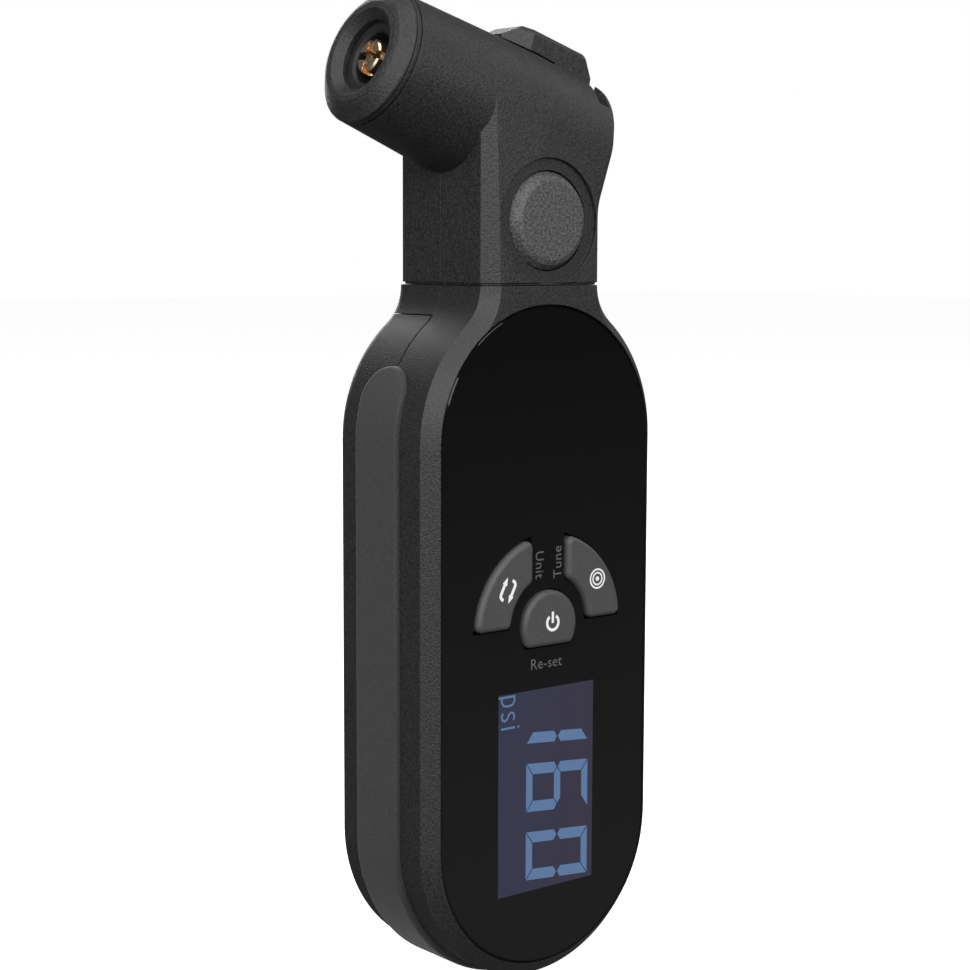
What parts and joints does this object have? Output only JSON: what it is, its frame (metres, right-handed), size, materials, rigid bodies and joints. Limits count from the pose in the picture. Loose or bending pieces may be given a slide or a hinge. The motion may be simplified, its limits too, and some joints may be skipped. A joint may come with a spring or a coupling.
{
  "type": "digital tyre pressure gauge",
  "caption": "Hand-held digital tyre pressure gauge: oblong body with glass front, display and keys, and a turning neck with a locking valve chuck.",
  "frame": {"origin": "centre of the flat back face of the body", "axes": "+Z along the body towards the chuck head; the glass front faces -Y; the barrel of the chuck points to -X and up"},
  "size_m": [0.0531, 0.0243, 0.1513],
  "materials": {
    "case_plastic": "fine spark-eroded texture",
    "head_plastic": "fine spark-eroded texture",
    "grip_rubber": "matte, smooth",
    "lens_glass": "polished, black printed behind",
    "key_plastic": "fine matte",
    "button_plastic": "coarse grain",
    "seal_rubber": "matte",
    "brass": "turned",
    "inner_plastic": "moulded",
    "steel": "zinc plated",
    "lcd_glass": "smooth",
    "light_guide": "frosted",
    "circuit_board": "solder mask",
    "chip_black": "moulded",
    "conductive_rubber": "matte",
    "clear_silicone": "translucent"
  },
  "bodies": {
    "body": {"front_case": "case_plastic", "collar_rear": "case_plastic", "rear_cover": "case_plastic", "grip_band": "grip_rubber", "lens_panel": "lens_glass", "lcd_cell": "lcd_glass", "lcd_backlight": "light_guide", "lcd_frame": "inner_plastic", "connector_strips": "conductive_rubber", "main_board": "circuit_board", "board_chips": "chip_black", "tact_switches": "chip_black", "board_screws": "steel", "pressure_sensor": "chip_black", "air_tube": "clear_silicone", "battery_holder": "inner_plastic", "coin_cell": "steel", "battery_contact_minus": "steel", "battery_contact_plus": "steel", "battery_door": "inner_plastic", "door_seal": "seal_rubber", "swivel_spigot": "brass", "spigot_seal": "seal_rubber", "cover_screws": "steel", "collar_screws": "steel"},
    "head": {"head_front": "head_plastic", "head_rear": "head_plastic", "chuck_body": "inner_plastic", "chuck_cap": "head_plastic", "valve_gasket": "seal_rubber", "lever_pin": "steel", "head_screws": "steel"},
    "pusher": {"gasket_pusher": "inner_plastic", "pusher_seals": "seal_rubber", "pusher_spring": "steel"},
    "depressor": {"valve_depressor": "brass", "depressor_spring": "steel"},
    "lever": {"lock_lever": "head_plastic"},
    "bleed": {"bleed_button": "button_plastic", "bleed_stem": "brass", "bleed_seal": "seal_rubber", "bleed_spring": "steel"},
    "unit": {"unit_key": "key_plastic"},
    "tune": {"tune_key": "key_plastic"},
    "power": {"power_key": "key_plastic"}
  },
  "joints": [
    {"name": "head_swivel", "type": "hinge", "parent": "body", "child": "head", "pos_m": [0, -0.0117, 0.0566], "axis": [0, 0, 1], "range_deg": [-90, 90]},
    {"name": "lever_lock", "type": "hinge", "parent": "head", "child": "lever", "pos_m": [0.01061, -0.0117, 0.08307], "axis": [0, 1, 0], "range_deg": [0, 65]},
    {"name": "pusher_slide", "type": "slide", "parent": "head", "child": "pusher", "axis": [-0.9449, 0, 0.3272], "range_m": [0, 0.00115], "deforming": ["pusher_spring"]},
    {"name": "depressor_slide", "type": "slide", "parent": "pusher", "child": "depressor", "axis": [0.9449, 0, -0.3272], "range_m": [0, 0.0025], "stiffness_N_per_m": 800, "springref_m": -0.001, "deforming": ["depressor_spring"]},
    {"name": "bleed_press", "type": "slide", "parent": "head", "child": "bleed", "axis": [0, 1, 0], "range_m": [0, 0.002], "stiffness_N_per_m": 1500, "springref_m": -0.0006, "deforming": ["bleed_spring"]},
    {"name": "unit_press", "type": "slide", "parent": "body", "child": "unit", "axis": [0, 1, 0], "range_m": [0, 0.0005], "stiffness_N_per_m": 2500, "springref_m": -0.0004},
    {"name": "tune_press", "type": "slide", "parent": "body", "child": "tune", "axis": [0, 1, 0], "range_m": [0, 0.0005], "stiffness_N_per_m": 2500, "springref_m": -0.0004},
    {"name": "power_press", "type": "slide", "parent": "body", "child": "power", "axis": [0, 1, 0], "range_m": [0, 0.0005], "stiffness_N_per_m": 2500, "springref_m": -0.0004}
  ],
  "couplings": [
    {"joint": "lever_lock", "follows": "pusher_slide", "rad_per_m": 986.49}
  ]
}
